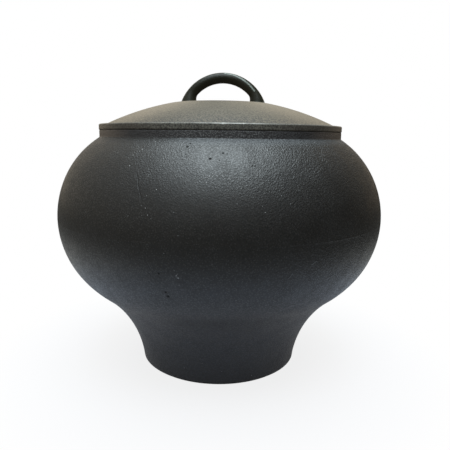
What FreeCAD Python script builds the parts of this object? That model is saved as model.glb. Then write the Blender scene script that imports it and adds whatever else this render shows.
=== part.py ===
import FreeCAD, Part
import math
import os

from FreeCAD import Vector

# A bellied cast iron oven pot with a narrow foot, and the domed cast iron lid that rests on it.
# Millimetres. The origin is the centre of the base, +Z points up, +X runs along the lid's handle.

# Pot, outside
BASE_RADIUS = 77.5
FOOT_FLARE = 6.3
BELLY_RADIUS = 155.0
BELLY_HEIGHT = 147.5
LOWER_BELLY_CURVE = 86.5
COLLAR_RADIUS = 115.2
COLLAR_HEIGHT = 6.3
POT_HEIGHT = 227.4
BASE_EDGE_BREAK = 2.0
COLLAR_FOOT_BREAK = 1.2
RIM_EDGE_BREAK = 0.8

# Pot, inside
WALL = 4.2
FLOOR = 6.0
RIM_WIDTH = 8.0
LIP_DEPTH = 6.8
LIP_SLOPE = 3.6
MOUTH_EDGE_BREAK = 1.2
FLOOR_CORNER_ROUND = 14.0

# Marks that the mould leaves on the pot
PARTING_WIDTH = 1.6
PARTING_HEIGHT = 0.3
STANDING_RING_WIDTH = 11.0
BASE_HOLLOW = 1.2
GATE_RADIUS = 12.0
GATE_HEIGHT = 0.7

# Lid, cast in one piece with its handle
LID_OVERHANG = 0.3
FLANGE_THICKNESS = 5.5
FLANGE_WIDTH = 6.5
FLANGE_TOP_BREAK = 1.0
FLANGE_UNDER_BREAK = 0.8
DOME_CURVE = 247.0
DOME_FOOT_BREAK = 1.5
FLAT_TOP_RADIUS = 45.0
FLAT_TOP_BLEND = 40.0
LID_WALL = 4.4
RING_DEPTH = 6.0
RING_WIDTH = 4.5
RING_CLEARANCE = 1.6
RING_EDGE_BREAK = 1.0
RING_ROOT_BREAK = 3.0

# Loop handle on the lid
HANDLE_CURVE = 43.5
HANDLE_RISE = 28.8
HANDLE_ROD = 10.0
HANDLE_FOOT = 17.0
HANDLE_SHIFT = 2.1
HANDLE_SWELL_FROM = 47.0
HANDLE_OVERRUN = 20.0
HANDLE_FOOT_ROUND = 1.8
HANDLE_ROOT = 2.0
SECTIONS_PER_LEG = 5

UP = Vector(0, 0, 1)
ORIGIN = Vector(0, 0, 0)


def at(radius, height):
    """A point of a turned section, which lies in the XZ plane."""
    return Vector(radius, 0, height)


def line(start, end):
    return Part.makeLine(start, end)


def arc(centre, start, end):
    """The shorter arc about a centre."""
    toward = (start - centre).normalize() + (end - centre).normalize()
    middle = centre + toward.normalize() * (start - centre).Length
    return Part.Arc(start, middle, end).toShape()


def reach(centre, radius, height):
    """How far a circle reaches sideways from its own centre at a height."""
    return math.sqrt(radius**2 - (height - centre.z) ** 2)


def rise(centre, radius, across):
    """How far a circle reaches upward from its own centre at a distance from the axis."""
    return math.sqrt(radius**2 - (across - centre.x) ** 2)


def turned(edges):
    """The solid that a closed section makes when it is turned about the pot's axis."""
    face = Part.Face(Part.Wire(edges))
    return face.revolve(ORIGIN, UP, 360)


def ring_edges(solid, corner):
    """The round edges of a turned solid that pass through a corner of its section."""
    return [
        edge
        for edge in solid.Edges
        if isinstance(edge.Curve, Part.Circle)
        and abs(edge.Curve.Radius - corner.x) < 1e-4
        and edge.Curve.Center.distanceToPoint(Vector(0, 0, corner.z)) < 1e-4
    ]


def rounded(solid, corner, radius):
    return solid.makeFillet(radius, ring_edges(solid, corner))


def broken(solid, corner, size):
    """The sharp edge at a corner broken flat, as a casting's edges are fettled."""
    return solid.makeChamfer(size, ring_edges(solid, corner))


class PotSection:
    """Centres and radii of the arcs that make the pot's wall, outside, with the wall's inner side
    at the same centres: a waist that curves in, then the belly in two arcs that meet upright at
    its widest place."""

    def __init__(self):
        self.lower_radius = LOWER_BELLY_CURVE
        self.lower_centre = at(BELLY_RADIUS - LOWER_BELLY_CURVE, BELLY_HEIGHT)

        shoulder = BELLY_RADIUS - COLLAR_RADIUS
        above = POT_HEIGHT - COLLAR_HEIGHT - BELLY_HEIGHT
        self.upper_radius = (shoulder**2 + above**2) / (2 * shoulder)
        self.upper_centre = at(BELLY_RADIUS - self.upper_radius, BELLY_HEIGHT)

        # The waist starts at the base with the foot's flare and runs smoothly into the belly.
        flare = math.radians(FOOT_FLARE)
        inset = BASE_RADIUS - self.lower_centre.x
        spare = inset**2 + BELLY_HEIGHT**2 - self.lower_radius**2
        lean = inset * math.cos(flare) + BELLY_HEIGHT * math.sin(flare)
        self.waist_radius = spare / (2 * (self.lower_radius - lean))
        self.waist_centre = at(
            BASE_RADIUS + self.waist_radius * math.cos(flare),
            -self.waist_radius * math.sin(flare),
        )

    def waist_to_belly(self, depth):
        """Where the waist meets the belly, at a depth into the wall."""
        toward = (self.waist_centre - self.lower_centre).normalize()
        return self.lower_centre + toward * (self.lower_radius - depth)


def pot():
    section = PotSection()
    mouth_radius = COLLAR_RADIUS - RIM_WIDTH
    half_bead = PARTING_WIDTH / 2

    # Outside, from the table up to the rim
    base_corner = at(BASE_RADIUS, 0)
    waist_top = section.waist_to_belly(0)
    below = BELLY_HEIGHT - half_bead
    above = BELLY_HEIGHT + half_bead
    lower = section.lower_centre
    upper = section.upper_centre
    bead_start = at(lower.x + reach(lower, section.lower_radius, below), below)
    bead_crest = at(BELLY_RADIUS + PARTING_HEIGHT, BELLY_HEIGHT)
    bead_end = at(upper.x + reach(upper, section.upper_radius, above), above)
    collar_foot = at(COLLAR_RADIUS, POT_HEIGHT - COLLAR_HEIGHT)
    rim_outer = at(COLLAR_RADIUS, POT_HEIGHT)
    rim_inner = at(mouth_radius, POT_HEIGHT)

    # Inside, from the mouth down to the floor
    inner_upper = section.upper_radius - WALL
    inner_waist = section.waist_radius + WALL
    lip_corner = at(mouth_radius, POT_HEIGHT - LIP_DEPTH)
    lip_foot = POT_HEIGHT - LIP_DEPTH - LIP_SLOPE
    wall_top = at(upper.x + reach(upper, inner_upper, lip_foot), lip_foot)
    inner_belly = at(BELLY_RADIUS - WALL, BELLY_HEIGHT)
    inner_waist_top = section.waist_to_belly(WALL)
    waist = section.waist_centre
    bend_height = FLOOR + FLOOR_CORNER_ROUND
    bend = at(waist.x - reach(waist, inner_waist + FLOOR_CORNER_ROUND, bend_height), bend_height)
    bend_top = bend + (waist - bend).normalize() * FLOOR_CORNER_ROUND
    bend_foot = at(bend.x, FLOOR)
    floor_centre = at(0, FLOOR)

    # Underside, with the hollow inside the standing ring and the ground stub of the gate
    hollow_radius = BASE_RADIUS - BASE_EDGE_BREAK - STANDING_RING_WIDTH
    gate_face = BASE_HOLLOW - GATE_HEIGHT
    under_centre = at(0, gate_face)
    gate_edge = at(GATE_RADIUS, gate_face)
    gate_root = at(GATE_RADIUS + GATE_HEIGHT, BASE_HOLLOW)
    hollow_edge = at(hollow_radius - BASE_HOLLOW, BASE_HOLLOW)
    ring_edge = at(hollow_radius, 0)

    body = turned(
        [
            arc(waist, base_corner, waist_top),
            arc(lower, waist_top, bead_start),
            line(bead_start, bead_crest),
            line(bead_crest, bead_end),
            arc(upper, bead_end, collar_foot),
            line(collar_foot, rim_outer),
            line(rim_outer, rim_inner),
            line(rim_inner, lip_corner),
            line(lip_corner, wall_top),
            arc(upper, wall_top, inner_belly),
            arc(lower, inner_belly, inner_waist_top),
            arc(waist, inner_waist_top, bend_top),
            arc(bend, bend_top, bend_foot),
            line(bend_foot, floor_centre),
            line(floor_centre, under_centre),
            line(under_centre, gate_edge),
            line(gate_edge, gate_root),
            line(gate_root, hollow_edge),
            line(hollow_edge, ring_edge),
            line(ring_edge, base_corner),
        ]
    )
    body = broken(body, base_corner, BASE_EDGE_BREAK)
    body = broken(body, collar_foot, COLLAR_FOOT_BREAK)
    body = broken(body, rim_outer, RIM_EDGE_BREAK)
    return broken(body, rim_inner, MOUTH_EDGE_BREAK)


class LidSection:
    """Heights and radii of the lid's section, seated on the pot's rim."""

    def __init__(self):
        self.seat = POT_HEIGHT
        self.flange_radius = COLLAR_RADIUS + LID_OVERHANG
        self.flange_top = self.seat + FLANGE_THICKNESS
        self.dome_foot = at(self.flange_radius - FLANGE_WIDTH, self.flange_top)
        dome_base = self.flange_top - math.sqrt(DOME_CURVE**2 - self.dome_foot.x**2)
        self.dome_centre = at(0, dome_base)
        self.top = dome_base + rise(self.dome_centre, DOME_CURVE, FLAT_TOP_RADIUS)


def lid_plate(section):
    """The lid without its handle: flange, dome with a flat top, and the ring inside the mouth."""
    dome = section.dome_centre
    inner_dome = DOME_CURVE - LID_WALL
    ring_outer = COLLAR_RADIUS - RIM_WIDTH - RING_CLEARANCE
    ring_inner = ring_outer - RING_WIDTH
    ring_foot = section.seat - RING_DEPTH

    top_edge = at(FLAT_TOP_RADIUS, section.top)
    under_top = section.top - LID_WALL
    under_edge = at(reach(dome, inner_dome, under_top), under_top)
    ring_root = at(ring_inner, dome.z + rise(dome, inner_dome, ring_inner))
    ring_inner_foot = at(ring_inner, ring_foot)
    ring_outer_foot = at(ring_outer, ring_foot)
    ring_seat = at(ring_outer, section.seat)
    flange_under = at(section.flange_radius, section.seat)
    flange_over = at(section.flange_radius, section.flange_top)

    plate = turned(
        [
            line(at(0, section.top), top_edge),
            arc(dome, top_edge, section.dome_foot),
            line(section.dome_foot, flange_over),
            line(flange_over, flange_under),
            line(flange_under, ring_seat),
            line(ring_seat, ring_outer_foot),
            line(ring_outer_foot, ring_inner_foot),
            line(ring_inner_foot, ring_root),
            arc(dome, ring_root, under_edge),
            line(under_edge, at(0, under_top)),
            line(at(0, under_top), at(0, section.top)),
        ]
    )
    plate = rounded(plate, top_edge, FLAT_TOP_BLEND)
    plate = rounded(plate, under_edge, FLAT_TOP_BLEND)
    plate = broken(plate, section.dome_foot, DOME_FOOT_BREAK)
    plate = broken(plate, flange_over, FLANGE_TOP_BREAK)
    plate = broken(plate, flange_under, FLANGE_UNDER_BREAK)
    plate = broken(plate, ring_outer_foot, RING_EDGE_BREAK)
    plate = broken(plate, ring_inner_foot, RING_EDGE_BREAK)
    return broken(plate, ring_root, RING_ROOT_BREAK)


def handle(section):
    """A round rod bent to an arc, whose legs swell inward to their feet. It runs on past its root
    in the lid, where it is cut off level."""
    centre = Vector(HANDLE_SHIFT, 0, section.top + HANDLE_RISE - HANDLE_CURVE)
    root_height = section.top - HANDLE_ROOT
    foot_angle = math.degrees(math.acos((section.top - centre.z) / HANDLE_CURVE))
    root_angle = math.degrees(math.acos((root_height - centre.z) / HANDLE_CURVE))
    sweep = root_angle + HANDLE_OVERRUN
    sections = []
    for step in range(-SECTIONS_PER_LEG, SECTIONS_PER_LEG + 1):
        angle = sweep * step / SECTIONS_PER_LEG
        swell = (abs(angle) - HANDLE_SWELL_FROM) / (foot_angle - HANDLE_SWELL_FROM)
        swell = min(max(swell, 0), 1)
        swell = swell**2 * (3 - 2 * swell)
        radius = (HANDLE_ROD + (HANDLE_FOOT - HANDLE_ROD) * swell) / 2
        outward = Vector(math.sin(math.radians(angle)), 0, math.cos(math.radians(angle)))
        along = Vector(outward.z, 0, -outward.x)
        middle = centre + outward * (HANDLE_CURVE - radius)
        sections.append(Part.Wire(Part.makeCircle(radius, middle, along)))
    rod = Part.makeLoft(sections, True, False)
    span = 2 * HANDLE_CURVE
    corner = Vector(centre.x - HANDLE_CURVE, -HANDLE_CURVE, root_height)
    return rod.common(Part.makeBox(span, span, span, corner))


def lid():
    section = LidSection()
    body = lid_plate(section).fuse(handle(section)).removeSplitter()
    feet = [
        edge
        for edge in body.Edges
        if abs(edge.BoundBox.ZMin - section.top) < 1e-3
        and abs(edge.BoundBox.ZMax - section.top) < 1e-3
        and edge.BoundBox.XLength < 2 * HANDLE_FOOT
    ]
    return body.makeFillet(HANDLE_FOOT_ROUND, feet)


def main():
    os.makedirs("parts", exist_ok=True)
    for name, shape in (("pot", pot()), ("lid", lid())):
        print(name, len(shape.Solids), "solid", shape.isValid(), round(shape.Volume / 1000, 1), "cm3")
        shape.exportStep(os.path.join("parts", name + ".step"))


main()
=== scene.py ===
import math

import bmesh
import bpy
from mathutils import Matrix, Vector, noise


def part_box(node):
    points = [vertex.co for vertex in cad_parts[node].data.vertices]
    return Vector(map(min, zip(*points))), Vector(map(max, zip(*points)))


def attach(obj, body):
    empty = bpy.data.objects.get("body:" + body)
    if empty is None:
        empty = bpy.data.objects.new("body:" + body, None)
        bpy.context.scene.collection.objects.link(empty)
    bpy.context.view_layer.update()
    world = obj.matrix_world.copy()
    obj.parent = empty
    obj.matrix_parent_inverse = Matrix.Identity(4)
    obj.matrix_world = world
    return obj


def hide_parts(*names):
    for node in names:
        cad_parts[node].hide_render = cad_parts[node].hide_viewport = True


# A bellied cast iron pot with a domed lid, on pale paper under soft overhead light.

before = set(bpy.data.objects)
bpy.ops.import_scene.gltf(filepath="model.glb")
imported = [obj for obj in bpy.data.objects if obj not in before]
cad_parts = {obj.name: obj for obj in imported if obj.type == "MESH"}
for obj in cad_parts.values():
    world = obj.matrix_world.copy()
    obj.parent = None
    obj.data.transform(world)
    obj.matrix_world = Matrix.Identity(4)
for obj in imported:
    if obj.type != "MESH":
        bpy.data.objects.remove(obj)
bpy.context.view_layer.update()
pot_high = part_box("pot")[1]
lid_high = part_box("lid")[1]

MM = 0.001

# Pot
RIM = pot_high.z
BASE_RADIUS = 77.5 * MM
BASE_ROUND = 4.2 * MM
FOOT_FLARE = math.radians(6.3)
BELLY_RADIUS = 155.0 * MM
BELLY_HEIGHT = 147.5 * MM
LOWER_BELLY_CURVE = 86.5 * MM
COLLAR_RADIUS = 115.2 * MM
COLLAR_FOOT = RIM - 6.3 * MM
COLLAR_ROUND = 0.35 * MM
RIM_ROUND = 0.8 * MM
MOUTH_RADIUS = 107.2 * MM
MOUTH_ROUND = 1.2 * MM
LIP_CORNER = RIM - 6.8 * MM
LIP_FOOT = RIM - 10.4 * MM
WALL = 4.2 * MM
FLOOR = 6.0 * MM
FLOOR_BEND = 14.0 * MM
BASE_HOLLOW = 1.2 * MM
HOLLOW_RADIUS = 64.5 * MM
GATE_RADIUS = 12.0 * MM
GATE_FACE = 0.5 * MM
GATE_SLOPE = 0.7 * MM
GATE_FOOT = 2.0 * MM
POT_WAVES = [(75 * MM, 0.22 * MM), (28 * MM, 0.07 * MM)]

# Parting line of the mould. It is plainest at one angle and fades over some degrees from there
PARTING_HALF = 0.8 * MM
PARTING_LIFT = 0.25 * MM
PARTING_PLAIN_AT = 36
PARTING_FADES_OVER = 22
PARTING_FAINT = 0.35
PARTING_RAGGED = 9 * MM

# Lid
SEAT = RIM
FLANGE_RADIUS = lid_high.y
FLANGE_TOP = SEAT + 5.5 * MM
FLANGE_ROUND = 1.1 * MM
SEAT_ROUND = 0.8 * MM
DOME_FOOT = FLANGE_RADIUS - 6.5 * MM
DOME_FOOT_ROUND = 1.5 * MM
DOME_CURVE = 247.0 * MM
FLAT_TOP = 45.0 * MM
FLAT_TOP_BLEND = 40.0 * MM
LID_WALL = 4.4 * MM
RING_OUTER = 105.6 * MM
RING_INNER = 101.1 * MM
RING_FOOT = SEAT - 6.0 * MM
LID_WAVES = [(60 * MM, 0.25 * MM), (22 * MM, 0.06 * MM)]

# Loop handle
HANDLE_TOP = lid_high.z
HANDLE_CURVE = 43.5 * MM
HANDLE_SHIFT = 2.1 * MM
HANDLE_ROD = 5.0 * MM
HANDLE_SWELL = 3.5 * MM
HANDLE_SWELL_FROM = math.radians(47)
HANDLE_FLARE = 1.8 * MM
HANDLE_DEPTH = 2.5 * MM
HANDLE_OVERRUN = math.radians(6)
HANDLE_SIDES = 48
HANDLE_STEPS = 160

# Fineness of the turned skins: steps round them and along their sections
TURNS = 384
OUTSIDE_STEP = 2.2 * MM
PARTING_STEP = 0.4 * MM
COLLAR_STEP = 0.6 * MM
COLLAR_ANGLE = 0.012
INSIDE_STEP = 8.0 * MM
BASE_STEP = 4.0 * MM
SAME_PLACE = 0.001 * MM


def arc_points(centre, radius, start, end, spacing):
    """Points of an arc about a centre in the section's plane, from one angle to another."""
    count = max(2, math.ceil(abs(end - start) * radius / spacing))
    points = []
    for step in range(count + 1):
        angle = start + (end - start) * step / count
        points.append((centre[0] + radius * math.cos(angle), centre[1] + radius * math.sin(angle)))
    return points


def line_points(start, end, spacing):
    """Points of a straight run of a section."""
    run = math.hypot(end[0] - start[0], end[1] - start[1])
    count = max(1, math.ceil(run / spacing))
    return [
        tuple(low + (high - low) * step / count for low, high in zip(start, end))
        for step in range(count + 1)
    ]


def turned(points):
    """A closed skin, spun about the upright axis from a section that starts and ends on it."""
    bm = bmesh.new()
    chain = []
    for radius, height in points:
        place = Vector((radius, 0, height))
        if not chain or (chain[-1].co - place).length > SAME_PLACE:
            chain.append(bm.verts.new(place))
    for low, high in zip(chain, chain[1:]):
        bm.edges.new((low, high))
    bmesh.ops.spin(
        bm,
        geom=bm.verts[:] + bm.edges[:],
        axis=(0, 0, 1),
        cent=(0, 0, 0),
        angle=math.tau,
        steps=TURNS,
        use_merge=True,
    )
    bmesh.ops.remove_doubles(bm, verts=bm.verts[:], dist=SAME_PLACE)
    bmesh.ops.recalc_face_normals(bm, faces=bm.faces[:])
    return bm


def soften(bm, radius, height, size, segments):
    """Rounds the ring of edges at a corner of a turned skin."""

    def at_corner(vert):
        off = (abs(vert.co.z - height), abs(vert.co.xy.length - radius))
        return max(off) < SAME_PLACE

    ring = [edge for edge in bm.edges if all(at_corner(vert) for vert in edge.verts)]
    bmesh.ops.bevel(
        bm,
        geom=ring,
        offset=size,
        segments=segments,
        profile=0.5,
        affect="EDGES",
        offset_type="OFFSET",
        material=-1,
    )


def uneven(bm, waves, low, high):
    """Moves the points between two heights along their normals by slow noise, as a sand mould
    leaves them. Each wave is a length and a height."""
    fade = 6 * MM
    bm.normal_update()
    moves = []
    for vert in bm.verts:
        inside = min(max(min(vert.co.z - low, high - vert.co.z) / fade, 0), 1)
        shift = 0.0
        for number, (length, height) in enumerate(waves):
            apart = Vector((number * 7.3, 2.1, -4.7))
            shift += height * noise.noise(vert.co / length + apart)
        moves.append(vert.normal * shift * inside)
    for vert, move in zip(bm.verts, moves):
        vert.co += move


def linked(name, data):
    """A new object in the scene."""
    item = bpy.data.objects.new(name, data)
    bpy.context.scene.collection.objects.link(item)
    return item


def shaped(bm, name, material):
    """A new object of the mesh, in one material."""
    mesh = bpy.data.meshes.new(name)
    bm.to_mesh(mesh)
    bm.free()
    mesh.materials.append(material)
    return linked(name, mesh)


def finished(bm, name, material, node):
    """Makes the mesh a piece that rides on the pot's body, in place of a node if one is named."""
    piece = shaped(bm, name, material)
    polygons = piece.data.polygons
    polygons.foreach_set("use_smooth", [True] * len(polygons))
    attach(piece, "root")
    if node:
        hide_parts(node)


# Sections of the pot and the lid, in arcs and straight runs


def pot_arcs():
    """Centres and radii of the arcs of the waist, the lower belly and the upper belly."""
    lower = (BELLY_RADIUS - LOWER_BELLY_CURVE, BELLY_HEIGHT)
    shoulder = BELLY_RADIUS - COLLAR_RADIUS
    above = COLLAR_FOOT - BELLY_HEIGHT
    upper_curve = (shoulder**2 + above**2) / (2 * shoulder)
    upper = (BELLY_RADIUS - upper_curve, BELLY_HEIGHT)
    inset = BASE_RADIUS - lower[0]
    spare = inset**2 + BELLY_HEIGHT**2 - LOWER_BELLY_CURVE**2
    lean = inset * math.cos(FOOT_FLARE) + BELLY_HEIGHT * math.sin(FOOT_FLARE)
    waist_curve = spare / (2 * (LOWER_BELLY_CURVE - lean))
    waist = (BASE_RADIUS + waist_curve * math.cos(FOOT_FLARE), -waist_curve * math.sin(FOOT_FLARE))
    return waist, waist_curve, lower, upper, upper_curve


def pot_radius(height):
    """The outer radius of the pot at a height."""
    waist, waist_curve, lower, upper, upper_curve = pot_arcs()
    joint = math.atan2(waist[1] - lower[1], waist[0] - lower[0])
    if height < lower[1] + LOWER_BELLY_CURVE * math.sin(joint):
        return waist[0] - math.sqrt(waist_curve**2 - (height - waist[1]) ** 2)
    centre, curve = (lower, LOWER_BELLY_CURVE) if height < BELLY_HEIGHT else (upper, upper_curve)
    return centre[0] + math.sqrt(curve**2 - (height - BELLY_HEIGHT) ** 2)


def pot_section():
    """The pot's outline, from the middle of its base over the rim to the middle of its floor."""
    waist, waist_curve, lower, upper, upper_curve = pot_arcs()
    above = COLLAR_FOOT - BELLY_HEIGHT
    joint = math.atan2(waist[1] - lower[1], waist[0] - lower[0])
    waist_foot = math.pi - FOOT_FLARE
    waist_joint = joint + math.pi
    shoulder_angle = math.asin(above / upper_curve)
    below_collar = shoulder_angle - COLLAR_ANGLE

    inner_upper = upper_curve - WALL
    inner_waist = waist_curve + WALL
    bend_height = FLOOR + FLOOR_BEND
    reach = math.sqrt((inner_waist + FLOOR_BEND) ** 2 - (bend_height - waist[1]) ** 2)
    bend = (waist[0] - reach, bend_height)
    bend_angle = math.atan2(waist[1] - bend[1], waist[0] - bend[0])
    lip_angle = math.asin((LIP_FOOT - BELLY_HEIGHT) / inner_upper)
    lip_foot_radius = upper[0] + inner_upper * math.cos(lip_angle)

    below_parting = -math.asin(PARTING_HALF / LOWER_BELLY_CURVE)
    above_parting = math.asin(PARTING_HALF / upper_curve)

    points = line_points((0, GATE_FACE), (GATE_RADIUS, GATE_FACE), BASE_STEP)
    points += [(GATE_RADIUS + GATE_SLOPE, BASE_HOLLOW)]
    hollow = [(GATE_RADIUS + GATE_FOOT, BASE_HOLLOW), (HOLLOW_RADIUS - BASE_HOLLOW, BASE_HOLLOW)]
    points += line_points(*hollow, spacing=6 * MM)
    points += line_points((HOLLOW_RADIUS, 0), (BASE_RADIUS, 0), BASE_STEP)
    points += arc_points(waist, waist_curve, waist_foot, waist_joint, OUTSIDE_STEP)
    points += arc_points(lower, LOWER_BELLY_CURVE, joint, below_parting, OUTSIDE_STEP)
    points += arc_points(lower, LOWER_BELLY_CURVE, below_parting, 0, PARTING_STEP)
    points += arc_points(upper, upper_curve, 0, above_parting, PARTING_STEP)
    points += arc_points(upper, upper_curve, above_parting, below_collar, OUTSIDE_STEP)
    points += arc_points(upper, upper_curve, below_collar, shoulder_angle, COLLAR_STEP)
    points += line_points((COLLAR_RADIUS, COLLAR_FOOT), (COLLAR_RADIUS, RIM), spacing=1.2 * MM)
    points += line_points((COLLAR_RADIUS, RIM), (MOUTH_RADIUS, RIM), spacing=2.7 * MM)
    points += [(MOUTH_RADIUS, LIP_CORNER), (lip_foot_radius, LIP_FOOT)]
    points += arc_points(upper, inner_upper, lip_angle, 0, INSIDE_STEP)
    points += arc_points(lower, LOWER_BELLY_CURVE - WALL, 0, joint, INSIDE_STEP)
    points += arc_points(waist, inner_waist, waist_joint, bend_angle + math.pi, INSIDE_STEP)
    points += arc_points(bend, FLOOR_BEND, bend_angle, -math.pi / 2, BASE_STEP)
    points += line_points((bend[0], FLOOR), (0, FLOOR), spacing=10 * MM)
    return points


def lid_section():
    """The lid's outline, from the middle of its underside round to the middle of its top, and the
    height of that top."""
    dome_base = FLANGE_TOP - math.sqrt(DOME_CURVE**2 - DOME_FOOT**2)
    dome = (0, dome_base)
    top = dome_base + math.sqrt(DOME_CURVE**2 - FLAT_TOP**2)
    inner = DOME_CURVE - LID_WALL
    under_top = top - LID_WALL

    def crown(curve, height):
        """Where the flat crown ends, its blend's centre, and the angle where the dome starts."""
        reach = curve - FLAT_TOP_BLEND
        centre = height - FLAT_TOP_BLEND
        across = math.sqrt(reach**2 - (centre - dome_base) ** 2)
        return across, (across, centre), math.acos(across / reach)

    under_flat, under_blend, under_angle = crown(inner, under_top)
    flat, blend, dome_angle = crown(DOME_CURVE, top)
    upright = math.pi / 2
    ring_angle = math.acos(RING_INNER / inner)
    foot_angle = math.acos(DOME_FOOT / DOME_CURVE)

    points = line_points((0, under_top), (under_flat, under_top), INSIDE_STEP)
    points += arc_points(under_blend, FLAT_TOP_BLEND, upright, under_angle, spacing=3 * MM)
    points += arc_points(dome, inner, under_angle, ring_angle, INSIDE_STEP)
    points += [(RING_INNER, RING_FOOT), (RING_OUTER, RING_FOOT), (RING_OUTER, SEAT)]
    points += line_points((RING_OUTER, SEAT), (FLANGE_RADIUS, SEAT), BASE_STEP)
    points += line_points((FLANGE_RADIUS, SEAT), (FLANGE_RADIUS, FLANGE_TOP), spacing=1.8 * MM)
    points += line_points((FLANGE_RADIUS, FLANGE_TOP), (DOME_FOOT, FLANGE_TOP), OUTSIDE_STEP)
    points += arc_points(dome, DOME_CURVE, foot_angle, dome_angle, spacing=2.4 * MM)
    points += arc_points(blend, FLAT_TOP_BLEND, dome_angle, upright, spacing=1.2 * MM)
    points += line_points((flat, top), (0, top), spacing=3 * MM)
    return points, top


# Materials


def bare_tree(owner):
    """The emptied node tree of a material or a world."""
    owner.use_nodes = True
    owner.node_tree.nodes.clear()
    return owner.node_tree


def new_iron(name, ior):
    """A material with its shader, and the place on the object that its patterns follow."""
    material = bpy.data.materials.new(name)
    tree = bare_tree(material)
    output = tree.nodes.new("ShaderNodeOutputMaterial")
    shader = tree.nodes.new("ShaderNodeBsdfPrincipled")
    shader.inputs["IOR"].default_value = ior
    tree.links.new(shader.outputs["BSDF"], output.inputs["Surface"])
    return material, tree, shader, tree.nodes.new("ShaderNodeTexCoord").outputs["Object"]


def feed(tree, value, socket):
    """Links a node's output to a socket, or writes a plain number or colour on it."""
    if isinstance(value, bpy.types.NodeSocket):
        tree.links.new(value, socket)
    else:
        socket.default_value = (*value, 1) if isinstance(value, tuple) else value


def noise_node(tree, place, scale, detail, roughness=0.5):
    """Noise with so many waves to a metre."""
    node = tree.nodes.new("ShaderNodeTexNoise")
    node.inputs["Scale"].default_value = scale
    node.inputs["Detail"].default_value = detail
    node.inputs["Roughness"].default_value = roughness
    tree.links.new(place, node.inputs["Vector"])
    return node.outputs["Fac"]


def spread(tree, value, low, high, to_low, to_high):
    """Carries a range of one value onto another, held at its ends."""
    node = tree.nodes.new("ShaderNodeMapRange")
    node.inputs["From Min"].default_value = low
    node.inputs["From Max"].default_value = high
    node.inputs["To Min"].default_value = to_low
    node.inputs["To Max"].default_value = to_high
    tree.links.new(value, node.inputs["Value"])
    return node.outputs["Result"]


def faded(tree, gap, full, none):
    """1 as far as one distance, fading smoothly to 0 at another. A clamp would make a second node
    of each, and the many small marks would then outgrow the shader."""
    node = tree.nodes.new("ShaderNodeMapRange")
    node.interpolation_type = "SMOOTHSTEP"
    node.clamp = False
    node.inputs["From Min"].default_value = full
    node.inputs["From Max"].default_value = none
    node.inputs["To Min"].default_value = 1
    node.inputs["To Max"].default_value = 0
    tree.links.new(gap, node.inputs["Value"])
    return node.outputs["Result"]


def worked(tree, operation, first, second):
    """What a sum makes of two values."""
    node = tree.nodes.new("ShaderNodeMath")
    node.operation = operation
    feed(tree, first, node.inputs[0])
    feed(tree, second, node.inputs[1])
    return node.outputs[0]


def times(tree, first, second):
    return worked(tree, "MULTIPLY", first, second)


def largest(tree, first, second):
    return worked(tree, "MAXIMUM", first, second)


def mixed(tree, share, first, second):
    """The first colour where the share is 0 and the second where it is 1."""
    node = tree.nodes.new("ShaderNodeMix")
    node.data_type = "RGBA"
    colours = [socket for socket in node.inputs if socket.type == "RGBA"]
    feed(tree, first, colours[0])
    feed(tree, second, colours[1])
    feed(tree, share, node.inputs["Factor"])
    return [socket for socket in node.outputs if socket.type == "RGBA"][0]


def patched(tree, cloud, tones):
    """Two tones of one finish in slow patches."""
    return mixed(tree, spread(tree, cloud, 0.35, 0.65, 0, 1), *tones)


def layered(tree, layers):
    """The sum of some values, each times its share."""
    total = 0.0
    for value, share in layers:
        node = tree.nodes.new("ShaderNodeMath")
        node.operation = "MULTIPLY_ADD"
        feed(tree, value, node.inputs[0])
        feed(tree, share, node.inputs[1])
        feed(tree, total, node.inputs[2])
        total = node.outputs[0]
    return total


def bumped(tree, layers):
    """A relief of layers that each stand as high as their number of millimetres."""
    node = tree.nodes.new("ShaderNodeBump")
    node.inputs["Strength"].default_value = 1.0
    node.inputs["Distance"].default_value = MM
    tree.links.new(layered(tree, layers), node.inputs["Height"])
    return node.outputs["Normal"]


def scattered(tree, place, spacing, size, kept):
    """Small round spots, one to a cell, of which a share is kept."""
    node = tree.nodes.new("ShaderNodeTexVoronoi")
    node.inputs["Scale"].default_value = 1 / spacing
    tree.links.new(place, node.inputs["Vector"])
    spot = spread(tree, node.outputs["Distance"], 0.5 * size / spacing, size / spacing, 1, 0)
    pick = tree.nodes.new("ShaderNodeSeparateColor")
    tree.links.new(node.outputs["Color"], pick.inputs[0])
    return times(tree, spot, worked(tree, "LESS_THAN", pick.outputs["Red"], kept))


def pebbled(tree, place, spacing):
    """Close rounded grains: 1 at their tops and 0 in the creases between them."""
    node = tree.nodes.new("ShaderNodeTexVoronoi")
    node.inputs["Scale"].default_value = 1 / spacing
    tree.links.new(place, node.inputs["Vector"])
    return spread(tree, node.outputs["Distance"], 0.1, 0.8, 1, 0)


def gap_between(tree, first, second):
    """The distance between two places."""
    node = tree.nodes.new("ShaderNodeVectorMath")
    node.operation = "DISTANCE"
    feed(tree, first, node.inputs[0])
    feed(tree, second, node.inputs[1])
    return node.outputs["Value"]


def marked(tree, place, marks):
    """1 in the middle of each mark, a place and a radius, and 0 outside it."""
    total = 0.0
    for spot, radius in marks:
        gap = gap_between(tree, place, spot)
        total = largest(tree, total, faded(tree, gap, 0.6 * radius, 1.3 * radius))
    return total


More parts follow.
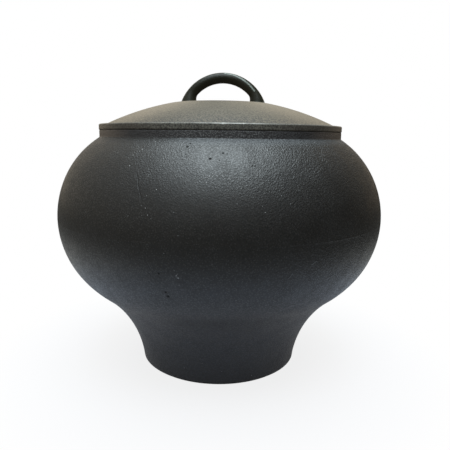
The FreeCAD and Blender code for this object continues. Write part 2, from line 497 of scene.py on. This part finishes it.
def scratched(tree, place, runs, half_width):
    """1 along each straight run from one place to another, and 0 beyond its half width."""
    total = 0.0
    for start, end in runs:
        along = end - start
        offset = tree.nodes.new("ShaderNodeVectorMath")
        offset.operation = "SUBTRACT"
        feed(tree, place, offset.inputs[0])
        feed(tree, start, offset.inputs[1])
        dot = tree.nodes.new("ShaderNodeVectorMath")
        dot.operation = "DOT_PRODUCT"
        feed(tree, offset.outputs[0], dot.inputs[0])
        feed(tree, along / along.length_squared, dot.inputs[1])
        share = worked(tree, "MINIMUM", largest(tree, dot.outputs["Value"], 0.0), 1.0)
        foot = tree.nodes.new("ShaderNodeVectorMath")
        foot.operation = "SCALE"
        feed(tree, along, foot.inputs[0])
        feed(tree, share, foot.inputs["Scale"])
        gap = gap_between(tree, offset.outputs[0], foot.outputs[0])
        total = largest(tree, total, faded(tree, gap, 0.3 * half_width, half_width))
    return total


def split(tree, vector):
    node = tree.nodes.new("ShaderNodeSeparateXYZ")
    tree.links.new(vector, node.inputs[0])
    return node.outputs


def axis_distance(tree, place):
    """Distance from the pot's axis."""
    axes = split(tree, place)
    squares = [times(tree, axes[name], axes[name]) for name in ("X", "Y")]
    return worked(tree, "SQRT", worked(tree, "ADD", *squares), 0.0)


def on_pot(turn, height):
    """A place on the pot's outer skin, from degrees round from the front and millimetres up."""
    radius = pot_radius(height * MM)
    angle = math.radians(turn)
    return Vector((radius * math.sin(angle), -radius * math.cos(angle), height * MM))


def on_handle(turn, forward):
    """A place on the handle's skin, from degrees along the bow and degrees round from its top."""
    turn, forward = math.radians(turn), math.radians(forward)
    out = HANDLE_CURVE - HANDLE_ROD + HANDLE_ROD * math.cos(forward)
    height = HANDLE_TOP - HANDLE_CURVE + out * math.cos(turn)
    return Vector((HANDLE_SHIFT + out * math.sin(turn), -HANDLE_ROD * math.sin(forward), height))


def on_flange(right):
    """A place on the front of the flange's rounded top edge, from metres to the right."""
    radius = FLANGE_RADIUS - 0.5 * MM
    return Vector((right, -math.sqrt(radius**2 - right**2), FLANGE_TOP - 0.4 * MM))


def between(places):
    """The straight runs that join places."""
    return list(zip(places, places[1:]))


# Marks on the pot, as degrees round from the front, millimetres up and millimetres across
PINHOLES = [
    (-10.7, 215, 2.0),
    (-10, 217.5, 1.3),
    (-2.5, 207, 1.9),
    (1.5, 211, 1.5),
    (2.8, 210.5, 0.8),
    (-10.6, 209.5, 0.7),
    (-11.6, 208.5, 0.8),
    (0.4, 206, 0.7),
    (10.5, 202.5, 0.8),
    (11.2, 202, 0.7),
    (-16.1, 62.5, 0.9),
    (-15.6, 99, 0.8),
    (-11.7, 99.9, 0.7),
    (-3.6, 36.9, 0.8),
]
PITS = [(-15.8, 126, 1.8), (-14.7, 110.6, 1.9), (-14.3, 106.8, 2.7)]
# Bright specks, partly real bright spots and partly painted glints
SPECKS_AND_GLINTS = [
    (-10.9, 125.2, 0.8),
    (-10.4, 123.3, 1.2),
    (12.7, 171.1, 0.7),
    (12, 175.1, 0.6),
    (5.2, 177.1, 0.6),
    (-17.3, 185.4, 0.9),
    (-19.9, 180.8, 0.7),
    (-19.7, 172.4, 0.8),
    (-21, 173.8, 0.6),
    (-18.8, 167.7, 0.8),
    (-17.8, 165.3, 0.7),
    (-3.2, 191, 1.0),
    (-2.5, 195.2, 1.1),
    (-1.5, 196.9, 1.0),
    (-4.2, 199, 0.8),
    (3.2, 194, 1.0),
    (-3.0, 194.2, 0.7),
    (-2.6, 193.4, 0.8),
    (-1.5, 195, 0.7),
    (-4.1, 195.3, 0.7),
    (1.3, 195.4, 0.8),
    (1.9, 193.8, 0.7),
    (3.1, 190.2, 0.8),
    (-27.2, 212.6, 1.1),
    (-29.5, 208.1, 0.9),
    (-28.7, 200.5, 0.9),
    (-23.8, 218.4, 1.0),
]

# Scratches on the pot, as places in degrees round from the front and millimetres up
SCRATCHES = [
    [(21.6, 90.5), (25.3, 94.5), (29.7, 94.5)],
    [(33.9, 115.5), (36.1, 117.5), (38, 119)],
    [(26.9, 131), (28.4, 133.5)],
    [(20.2, 122), (21.1, 125.5)],
    [(-10.4, 126.8), (-11.1, 125.1), (-10.4, 123.2)],
    [(-36.2, 104), (-34.8, 104.3)],
    [(152, 120), (149, 131), (148, 139)],
    [(-118, 171), (-121, 176)],
]
DARK_SCRATCHES = [
    [(-25.2, 196.2), (-24, 192.2), (-22.8, 185.4), (-21.2, 178.1)],
    [(-16.2, 127.2), (-15.4, 125.2)],
    [(-16.2, 124.4), (-15.4, 122.6)],
    [(-18.6, 132.2), (-18.1, 128)],
    [(-17.4, 133), (-17, 129.4)],
    [(-18.8, 125.8), (-18.3, 123.4)],
    [(-19.3, 118.8), (-18.3, 115.6)],
]

# Places on the lid, in metres (the first are centres of painted patches of light), the nicks on its
# edge as metres to the right and a radius
LID_PAINTED_LIGHT_PATCHES = [(-0.086, -0.012), (0.076, -0.008), (0.04, 0.12), (-0.08, 0.10)]
FLANGE_NICKS = [(0.0031, 0.0012), (0.0182, 0.0009), (0.0262, 0.0006)]
# A small pale spot by the handle's right foot, on the lid
PALE_SPOT = Vector((0.0435, -0.005, 0.2546))

# The painted highlight streak on the handle, as degrees along the bow and degrees round from its
# top
HANDLE_HIGHLIGHT_STREAK = [(2, 34), (12, 38), (26, 52), (38, 64), (48, 72)]

# Finish of the pot. A pair is two tones that come in patches, or change from front to side
POT_IOR = 1.6
# the iron's dark tone, with painted shade and a painted bluish floor reflection towards the foot
LOW_SKIN_AND_PAINTED_SHADE = ((0.0045, 0.0058, 0.0098), (0.0078, 0.0090, 0.0134))
HIGH_SKIN = ((0.0118, 0.0098, 0.0083), (0.0170, 0.0142, 0.0120))
# painted shade in the creases between the grains
CREASE_PAINTED_SHADE = (0.003, 0.003, 0.003)
PEBBLE_TOP = (0.066, 0.064, 0.062)
COLLAR_CRUST = ((0.041, 0.038, 0.040), (0.160, 0.124, 0.100))
COLLAR_FLECK = (0.19, 0.19, 0.19)
# Painted highlight in a band just below the collar's foot
CORNER_PAINTED_HIGHLIGHT = (0.115, 0.122, 0.130)
SCRATCHED_IRON = (0.10, 0.10, 0.104)
# bright specks, partly painted glints
SPECK_AND_GLINT_IRON = (0.38, 0.37, 0.37)
# painted shade in pits and grooves
PAINTED_PIT_SHADE = (0.002, 0.002, 0.002)

# Finish of the lid
LID_IOR = 1.5
DOME_SKIN = ((0.090, 0.074, 0.050), (0.125, 0.103, 0.069))
# painted light from the sides on the dome
PAINTED_SIDE_LIGHT = (0.212, 0.167, 0.116)
DARK_SPECKLE = (0.020, 0.019, 0.019)
FLANGE_CRUST = ((0.046, 0.043, 0.036), (0.190, 0.180, 0.152))
FLANGE_BROWN = (0.070, 0.052, 0.040)
FLANGE_END = (0.250, 0.200, 0.150)
# rubbed iron on the flange's top edge, made brighter still as a painted highlight
RUBBED_EDGE_AND_HIGHLIGHT = (0.55, 0.54, 0.50)
PALE_SPOT_IRON = (0.42, 0.41, 0.39)

# Finish of the handle
HANDLE_IOR = 1.3
HANDLE_SKIN = ((0.014, 0.014, 0.008), (0.024, 0.023, 0.015))
# Painted highlight streak on the handle's shoulder
PAINTED_HIGHLIGHT_STREAK = (0.26, 0.29, 0.26)


def mark_places(marks):
    """Places and radii of marks on the pot."""
    return [(on_pot(turn, height), across / 2 * MM) for turn, height, across in marks]


def scratch_runs(scratches):
    """The straight runs of scratches on the pot."""
    return [run for scratch in scratches for run in between([on_pot(*spot) for spot in scratch])]


def pot_marks(tree, place, mottle):
    """Pits, bright specks that are partly painted glints, pale scratches and dark grooves on the
    pot.
    """
    pits = marked(tree, place, mark_places(PINHOLES + PITS))
    pits = largest(tree, pits, scattered(tree, place, 19 * MM, 0.55 * MM, 0.25))
    specks_and_glints = marked(tree, place, mark_places(SPECKS_AND_GLINTS))
    dust_and_glints = scattered(tree, place, 3.4 * MM, 0.45 * MM, 0.22)
    dust_and_glints = times(tree, dust_and_glints, spread(tree, mottle, 0.52, 0.66, 0, 1))
    specks_and_glints = largest(tree, specks_and_glints, dust_and_glints)
    scratches = scratched(tree, place, scratch_runs(SCRATCHES), 0.5 * MM)
    grooves = scratched(tree, place, scratch_runs(DARK_SCRATCHES), 0.7 * MM)
    return pits, specks_and_glints, scratches, grooves


def pale_spot(tree, place, grain):
    """A small pale spot by the handle's foot."""
    spot = marked(tree, place, [(PALE_SPOT, 2.6 * MM)])
    return times(tree, spot, spread(tree, grain, 0.38, 0.52, 0.2, 0.8))


def pot_iron():
    """Seasoned cast iron: a pebbled, satin black skin, with a rougher, browner collar."""
    material, tree, shader, place = new_iron("pot_iron", POT_IOR)
    axes = split(tree, place)
    height = axes["Z"]
    sideways = worked(tree, "ABSOLUTE", axes["X"], 0.0)

    cloud = noise_node(tree, place, 16, 3)
    mottle = noise_node(tree, place, 75, 2)
    pebble = pebbled(tree, place, 1.5 * MM)
    pimple = pebbled(tree, place, 1.05 * MM)
    swell = noise_node(tree, place, 300, 1)
    grain = noise_node(tree, place, 1300, 2, 0.6)
    coarse = spread(tree, height, 172 * MM, 222 * MM, 0.42, 1.0)
    coarse = times(tree, coarse, spread(tree, axes["X"], -65 * MM, -20 * MM, 0.8, 0.6))
    coarse = times(tree, coarse, spread(tree, axes["X"], 0, 80 * MM, 1, 2.35))
    coarse = times(tree, coarse, spread(tree, mottle, 0.35, 0.65, 0.75, 1.25))
    collar = spread(tree, height, COLLAR_FOOT, COLLAR_FOOT + 0.5 * MM, 0, 1)
    pits, specks_and_glints, scratches, grooves = pot_marks(tree, place, mottle)

    low = patched(tree, cloud, LOW_SKIN_AND_PAINTED_SHADE)
    high = patched(tree, cloud, HIGH_SKIN)
    # Darker and bluer towards the foot: the iron's own tone with painted shade and a painted bluish
    # floor reflection
    colour = mixed(tree, spread(tree, height, 50 * MM, 105 * MM, 0, 1), low, high)
    # Painted shade: the creases between the grains darkened
    colour = mixed(tree, spread(tree, pimple, 0.1, 0.6, 0.8, 0), colour, CREASE_PAINTED_SHADE)
    tops = spread(tree, pebble, 0.55, 0.9, 0, 0.5)
    tops = times(tree, tops, spread(tree, height, 15 * MM, 85 * MM, 0.3, 1))
    colour = mixed(tree, tops, colour, PEBBLE_TOP)

    crust = mixed(tree, spread(tree, sideways, 70 * MM, 98 * MM, 0, 1), *COLLAR_CRUST)
    fleck = spread(tree, pimple, 0.4, 0.8, 0, 1)
    fleck = times(tree, fleck, spread(tree, sideways, 15 * MM, 65 * MM, 1.1, 0.15))
    colour = mixed(tree, collar, colour, mixed(tree, fleck, crust, COLLAR_FLECK))
    # Painted highlight: a lighter band just below the collar's foot, where the collar shuts out the
    # overhead light
    corner = spread(tree, height, COLLAR_FOOT - 5.5 * MM, COLLAR_FOOT - 0.5 * MM, 0, 1)
    corner = worked(tree, "SUBTRACT", corner, collar)
    corner = times(tree, corner, spread(tree, axes["X"], -46 * MM, -18 * MM, 0, 1))
    corner = times(tree, corner, spread(tree, axes["X"], 45 * MM, 95 * MM, 1, 0.5))
    corner = times(tree, corner, spread(tree, pimple, 0.35, 0.75, 0.5, 1.1))
    colour = mixed(tree, corner, colour, CORNER_PAINTED_HIGHLIGHT)

    colour = mixed(tree, times(tree, scratches, 0.8), colour, SCRATCHED_IRON)
    # Bright specks, partly painted glints
    colour = mixed(tree, times(tree, specks_and_glints, 0.75), colour, SPECK_AND_GLINT_IRON)
    # Painted shade: pits and grooves darkened almost to black
    hollows = largest(tree, pits, times(tree, grooves, 0.7))
    colour = mixed(tree, hollows, colour, PAINTED_PIT_SHADE)
    tree.links.new(colour, shader.inputs["Base Color"])

    rough = spread(tree, worked(tree, "ADD", pebble, grain), 0.6, 1.5, 0.54, 0.36)
    rough = worked(tree, "ADD", rough, spread(tree, mottle, 0.35, 0.65, -0.03, 0.03))
    rough = largest(tree, rough, times(tree, collar, 0.6))
    rough = largest(tree, rough, times(tree, pits, 0.9))
    tree.links.new(rough, shader.inputs["Roughness"])

    skin = layered(tree, [(swell, 0.07), (pebble, 0.17), (pimple, 0.17), (grain, 0.08)])
    marks = [(pits, -0.4), (grooves, -0.1), (specks_and_glints, 0.24), (scratches, 0.08)]
    tree.links.new(bumped(tree, [(skin, coarse)] + marks), shader.inputs["Normal"])
    return material


def lid_iron():
    """Dry, dusty iron on the dome with painted patches of side light, darker on the edge, which is
    rubbed bright along its top and painted with a highlight there.
    """
    material, tree, shader, place = new_iron("lid_iron", LID_IOR)
    axes = split(tree, place)
    height = axes["Z"]
    across = axis_distance(tree, place)
    sideways = worked(tree, "ABSOLUTE", axes["X"], 0.0)

    cloud = noise_node(tree, place, 14, 3)
    mottle = noise_node(tree, place, 90, 2)
    grain = noise_node(tree, place, 800, 2, 0.6)
    pebble = noise_node(tree, place, 420, 1)
    flange = spread(tree, across, DOME_FOOT + 2.5 * MM, FLANGE_RADIUS - 1.2 * MM, 0, 1)
    near_top = spread(tree, height, FLANGE_TOP - 1.0 * MM, FLANGE_TOP - 0.6 * MM, 0, 1)
    # The flange's top edge: rubbed iron, lightened further over a stretch of it as a painted
    # highlight of the overhead light
    rubbed_and_highlit = spread(tree, across, FLANGE_RADIUS - 0.65 * MM, FLANGE_RADIUS - 0.4 * MM, 0, 1)
    rubbed_and_highlit = times(tree, rubbed_and_highlit, near_top)
    rubbed_and_highlit = times(tree, rubbed_and_highlit, spread(tree, mottle, 0.35, 0.6, 0.35, 1))
    rubbed_and_highlit = times(tree, rubbed_and_highlit, spread(tree, axes["X"], -24 * MM, -2 * MM, 0.1, 1))
    rubbed_and_highlit = times(tree, rubbed_and_highlit, spread(tree, axes["X"], 15 * MM, 55 * MM, 1, 0.1))
    nicks = [(on_flange(right), radius) for right, radius in FLANGE_NICKS]
    rubbed_and_highlit = largest(tree, rubbed_and_highlit, marked(tree, place, nicks))
    # Painted light: broad pale brown patches on the dome, standing in for light from the sides and
    # grazing reflection
    light_patches = [(Vector((*spot, FLANGE_TOP + 8 * MM)), 80 * MM) for spot in LID_PAINTED_LIGHT_PATCHES]
    painted_light = marked(tree, place, light_patches)

    colour = mixed(tree, painted_light, patched(tree, cloud, DOME_SKIN), PAINTED_SIDE_LIGHT)
    speckle = spread(tree, grain, 0.42, 0.58, 1.0, 0)
    speckle = times(tree, speckle, spread(tree, across, 80 * MM, 110 * MM, 0.45, 1))
    speckle = times(tree, speckle, spread(tree, painted_light, 0, 1, 1, 0.4))
    colour = mixed(tree, speckle, colour, DARK_SPECKLE)
    crust = mixed(tree, spread(tree, grain, 0.38, 0.62, 0, 1), *FLANGE_CRUST)
    crust = mixed(tree, spread(tree, sideways, 40 * MM, 70 * MM, 0, 0.5), crust, FLANGE_BROWN)
    crust = mixed(tree, spread(tree, sideways, 82 * MM, 108 * MM, 0, 0.9), crust, FLANGE_END)
    colour = mixed(tree, flange, colour, crust)
    colour = mixed(tree, times(tree, rubbed_and_highlit, 0.8), colour, RUBBED_EDGE_AND_HIGHLIGHT)
    colour = mixed(tree, pale_spot(tree, place, grain), colour, PALE_SPOT_IRON)
    tree.links.new(colour, shader.inputs["Base Color"])

    rough = spread(tree, grain, 0.36, 0.64, 0.66, 0.50)
    rough = worked(tree, "SUBTRACT", rough, times(tree, rubbed_and_highlit, 0.2))
    tree.links.new(rough, shader.inputs["Roughness"])
    tree.links.new(bumped(tree, [(pebble, 0.10), (grain, 0.06)]), shader.inputs["Normal"])
    return material


def handle_iron():
    """The handle, held smooth: greenish black and glossier, with a highlight streak painted along a
    shoulder.
    """
    material, tree, shader, place = new_iron("handle_iron", HANDLE_IOR)
    cloud = noise_node(tree, place, 60, 2)
    grain = noise_node(tree, place, 650, 2, 0.6)
    runs = between([on_handle(*spot) for spot in HANDLE_HIGHLIGHT_STREAK])
    # Painted highlight: a pale streak along the handle's shoulder in place of a lamp's reflection
    highlight_streak = scratched(tree, place, runs, 1.3 * MM)
    highlight_streak = times(tree, highlight_streak, spread(tree, grain, 0.35, 0.55, 0.5, 1))
    colour = mixed(tree, highlight_streak, patched(tree, cloud, HANDLE_SKIN), PAINTED_HIGHLIGHT_STREAK)
    colour = mixed(tree, pale_spot(tree, place, grain), colour, PALE_SPOT_IRON)
    tree.links.new(colour, shader.inputs["Base Color"])
    tree.links.new(spread(tree, grain, 0.36, 0.64, 0.50, 0.34), shader.inputs["Roughness"])
    tree.links.new(bumped(tree, [(cloud, 0.3), (grain, 0.06)]), shader.inputs["Normal"])
    return material


# Pieces


def raise_parting(bm):
    """Lifts the line where the halves of the mould met, plain on one side and faint elsewhere."""
    for vert in bm.verts:
        off = abs(vert.co.z - BELLY_HEIGHT)
        if off < PARTING_HALF and vert.co.xy.length > BELLY_RADIUS - WALL / 2:
            turn = math.degrees(math.atan2(vert.co.x, -vert.co.y))
            plain = max(PARTING_FAINT, 1 - abs(turn - PARTING_PLAIN_AT) / PARTING_FADES_OVER)
            ragged = 0.5 + 0.5 * noise.noise(vert.co / PARTING_RAGGED)
            lift = PARTING_LIFT * plain * ragged * (1 - off / PARTING_HALF)
            vert.co += vert.co.xy.to_3d().normalized() * lift


def build_pot():
    skin = turned(pot_section())
    soften(skin, BASE_RADIUS, 0, BASE_ROUND, 5)
    soften(skin, COLLAR_RADIUS, COLLAR_FOOT, COLLAR_ROUND, 2)
    soften(skin, COLLAR_RADIUS, RIM, RIM_ROUND, 3)
    soften(skin, MOUTH_RADIUS, RIM, MOUTH_ROUND, 3)
    uneven(skin, POT_WAVES, 2 * MM, COLLAR_FOOT - 4 * MM)
    raise_parting(skin)
    finished(skin, "pot_casting", pot_iron(), "pot")


def build_lid(section, top):
    skin = turned(section)
    soften(skin, FLANGE_RADIUS, FLANGE_TOP, FLANGE_ROUND, 3)
    soften(skin, FLANGE_RADIUS, SEAT, SEAT_ROUND, 2)
    soften(skin, DOME_FOOT, FLANGE_TOP, DOME_FOOT_ROUND, 3)
    uneven(skin, LID_WAVES, FLANGE_TOP + 0.5 * MM, top - 0.3 * MM)
    finished(skin, "lid_casting", lid_iron(), "lid")


def build_handle(ground):
    """A ring of points spun along the bow, swelled inward at its feet, flared into the lid's top
    and closed just below it."""
    centre = Vector((HANDLE_SHIFT, 0, HANDLE_TOP - HANDLE_CURVE))
    crown = centre + Vector((0, 0, HANDLE_CURVE - HANDLE_ROD))
    foot = math.acos((ground - centre.z) / HANDLE_CURVE)
    sweep = foot + HANDLE_OVERRUN
    bm = bmesh.new()
    bmesh.ops.create_circle(bm, cap_ends=False, segments=HANDLE_SIDES, radius=HANDLE_ROD)
    upright = Matrix.Rotation(math.pi / 2, 3, "Y")
    bmesh.ops.rotate(bm, verts=bm.verts[:], cent=(0, 0, 0), matrix=upright)
    bmesh.ops.translate(bm, verts=bm.verts[:], vec=crown)
    back = Matrix.Rotation(-sweep, 3, "Y")
    bmesh.ops.rotate(bm, verts=bm.verts[:], cent=centre, matrix=back)
    bmesh.ops.spin(
        bm,
        geom=bm.verts[:] + bm.edges[:],
        axis=(0, 1, 0),
        cent=centre,
        angle=2 * sweep,
        steps=HANDLE_STEPS,
    )
    for vert in bm.verts:
        off = vert.co - centre
        angle = abs(math.atan2(off.x, off.z))
        swell = min(max((angle - HANDLE_SWELL_FROM) / (foot - HANDLE_SWELL_FROM), 0), 1)
        swell = swell**2 * (3 - 2 * swell)
        outward = Vector((math.copysign(math.sin(angle), off.x), 0, math.cos(angle)))
        middle = centre + outward * (HANDLE_CURVE - HANDLE_ROD)
        radius = HANDLE_ROD + HANDLE_SWELL * swell
        middle_now = middle - outward * HANDLE_SWELL * swell
        vert.co = middle_now + (vert.co - middle) * radius / HANDLE_ROD
        flare = max(0, 1 - max(vert.co.z - ground, 0) / HANDLE_FLARE) ** 2 * HANDLE_FLARE
        aside = vert.co - middle_now
        aside.z = 0
        vert.co += aside.normalized() * flare
    bmesh.ops.bisect_plane(
        bm,
        geom=bm.verts[:] + bm.edges[:] + bm.faces[:],
        plane_co=(0, 0, ground - HANDLE_DEPTH),
        plane_no=(0, 0, -1),
        clear_outer=True,
    )
    bmesh.ops.holes_fill(bm, edges=[edge for edge in bm.edges if edge.is_boundary], sides=0)
    bmesh.ops.recalc_face_normals(bm, faces=bm.faces[:])
    finished(bm, "lid_handle", handle_iron(), None)


# Stage

# The camera, with its pitch and roll in degrees
CAMERA_PLACE = (5.37 * MM, -471.58 * MM, 222.67 * MM)
CAMERA_PITCH = 10.614
CAMERA_ROLL = 0.673
CAMERA_FOCAL_PIXELS = 471.58
PHOTO_WIDTH = 450

# The paper, each pair close to the pot and further out, painted darker in front as shade with a
# painted pool of light behind, and the room, each pair left and right
PAPER_PAINTED_SHADE_IN_FRONT = ((0.040, 0.060, 0.130), (0.102, 0.097, 0.086))
PAPER_BEHIND = ((0.58, 0.66, 0.82), (0.70, 0.67, 0.62))
PAPER_PAINTED_LIGHT_POOL = Vector((-0.04, 0.20, 0))
WALL_IN_FRONT = ((0.31, 0.295, 0.255), (0.038, 0.034, 0.026))
WALL_BEHIND = ((0.78, 0.68, 0.53), (0.55, 0.45, 0.32))
CEILING = (0.62, 0.65, 0.68)
WHITE = (1.0, 1.0, 1.0)


def set_camera():
    data = bpy.data.cameras.new("camera")
    data.sensor_width = 36
    data.lens = CAMERA_FOCAL_PIXELS / PHOTO_WIDTH * data.sensor_width
    data.clip_start = 0.01
    camera = linked("camera", data)
    tilt = Matrix.Rotation(math.radians(90 - CAMERA_PITCH), 4, "X")
    roll = Matrix.Rotation(math.radians(CAMERA_ROLL), 4, "Z")
    camera.matrix_world = Matrix.Translation(CAMERA_PLACE) @ tilt @ roll
    bpy.context.scene.camera = camera


def background_share(tree, in_gloss):
    """1 for the camera, and as much as is given for the rays seen in gloss or through glass."""
    path = tree.nodes.new("ShaderNodeLightPath").outputs
    seen = largest(tree, path["Is Glossy Ray"], path["Is Transmission Ray"])
    return largest(tree, path["Is Camera Ray"], times(tree, seen, in_gloss))


def add_floor():
    """Pale paper: white to the camera but for the pot's shadow, with painted shade in front and a
    painted pool of light behind, which also glows a little in gloss.
    """
    material = bpy.data.materials.new("floor")
    tree = bare_tree(material)
    output = tree.nodes.new("ShaderNodeOutputMaterial")
    place = tree.nodes.new("ShaderNodeTexCoord").outputs["Object"]
    # Painted pool of light on the paper behind the pot, also seen faintly in gloss
    light_pool = spread(tree, gap_between(tree, place, PAPER_PAINTED_LIGHT_POOL), 0.32, 0.60, 1, 0)
    across = axis_distance(tree, place)
    beyond = spread(tree, across, 0.20, 0.36, 0, 1)
    # Painted shade: the paper in front is dark and bluish close to the pot and dull further out
    front = mixed(tree, beyond, *PAPER_PAINTED_SHADE_IN_FRONT)
    behind = mixed(tree, beyond, *PAPER_BEHIND)
    paper = tree.nodes.new("ShaderNodeBsdfDiffuse")
    tree.links.new(mixed(tree, light_pool, front, behind), paper.inputs["Color"])
    white = tree.nodes.new("ShaderNodeEmission")
    unshaded = spread(tree, across, 0.085, 0.24, 0.84, 1.0)
    share = times(tree, background_share(tree, times(tree, light_pool, 0.3)), unshaded)
    mix = tree.nodes.new("ShaderNodeMixShader")
    tree.links.new(share, mix.inputs[0])
    tree.links.new(paper.outputs[0], mix.inputs[1])
    tree.links.new(white.outputs[0], mix.inputs[2])
    tree.links.new(mix.outputs[0], output.inputs["Surface"])

    bm = bmesh.new()
    bmesh.ops.create_circle(bm, cap_ends=True, segments=64, radius=4)
    shaped(bm, "floor", material)


def add_softbox(name, place, aim, size, radiance, colour):
    """A large soft lamp that the camera doesn't see."""
    data = bpy.data.lights.new(name, "AREA")
    data.shape = "RECTANGLE"
    data.size, data.size_y = size
    data.energy = radiance * math.pi * size[0] * size[1]
    data.color = colour
    lamp = linked(name, data)
    aimed = (Vector(aim) - Vector(place)).to_track_quat("-Z", "Y").to_matrix().to_4x4()
    lamp.matrix_world = Matrix.Translation(place) @ aimed
    lamp.visible_camera = False


def set_world():
    """A dim room with a lighter wall behind, more so on the left, and white for the camera."""
    world = bpy.data.worlds.new("room")
    bpy.context.scene.world = world
    tree = bare_tree(world)
    output = tree.nodes.new("ShaderNodeOutputWorld")
    ground = tree.nodes.new("ShaderNodeBackground")
    towards = split(tree, tree.nodes.new("ShaderNodeTexCoord").outputs["Generated"])
    side = spread(tree, towards["X"], -0.7, 0.5, 0, 1)
    behind = mixed(tree, side, *WALL_BEHIND)
    front = mixed(tree, side, *WALL_IN_FRONT)
    room = mixed(tree, spread(tree, towards["Y"], 0.3, 0.98, 0, 1), front, behind)
    ceiling = spread(tree, towards["Z"], 0.10, 0.78, 0, 1)
    ceiling = times(tree, ceiling, spread(tree, towards["Y"], -0.55, 0.15, 1, 0.3))
    ceiling = times(tree, ceiling, spread(tree, towards["X"], -0.2, 0.8, 1, 0.42))
    room = mixed(tree, ceiling, room, CEILING)
    backdrop = spread(tree, towards["Y"], 0.88, 0.99, 0, 1)
    colour = mixed(tree, background_share(tree, backdrop), room, WHITE)
    tree.links.new(colour, ground.inputs["Color"])
    tree.links.new(ground.outputs[0], output.inputs["Surface"])


lid_outline, lid_top = lid_section()
build_pot()
build_lid(lid_outline, lid_top)
build_handle(lid_top)

set_camera()
add_floor()
add_softbox(
    "overhead",
    place=(0, -0.20, 1.15),
    aim=(0, -0.20, 0.2),
    size=(0.80, 1.10),
    radiance=6.0,
    colour=(0.83, 0.95, 1.0),
)
set_world()
bpy.context.scene.view_settings.view_transform = "Standard"
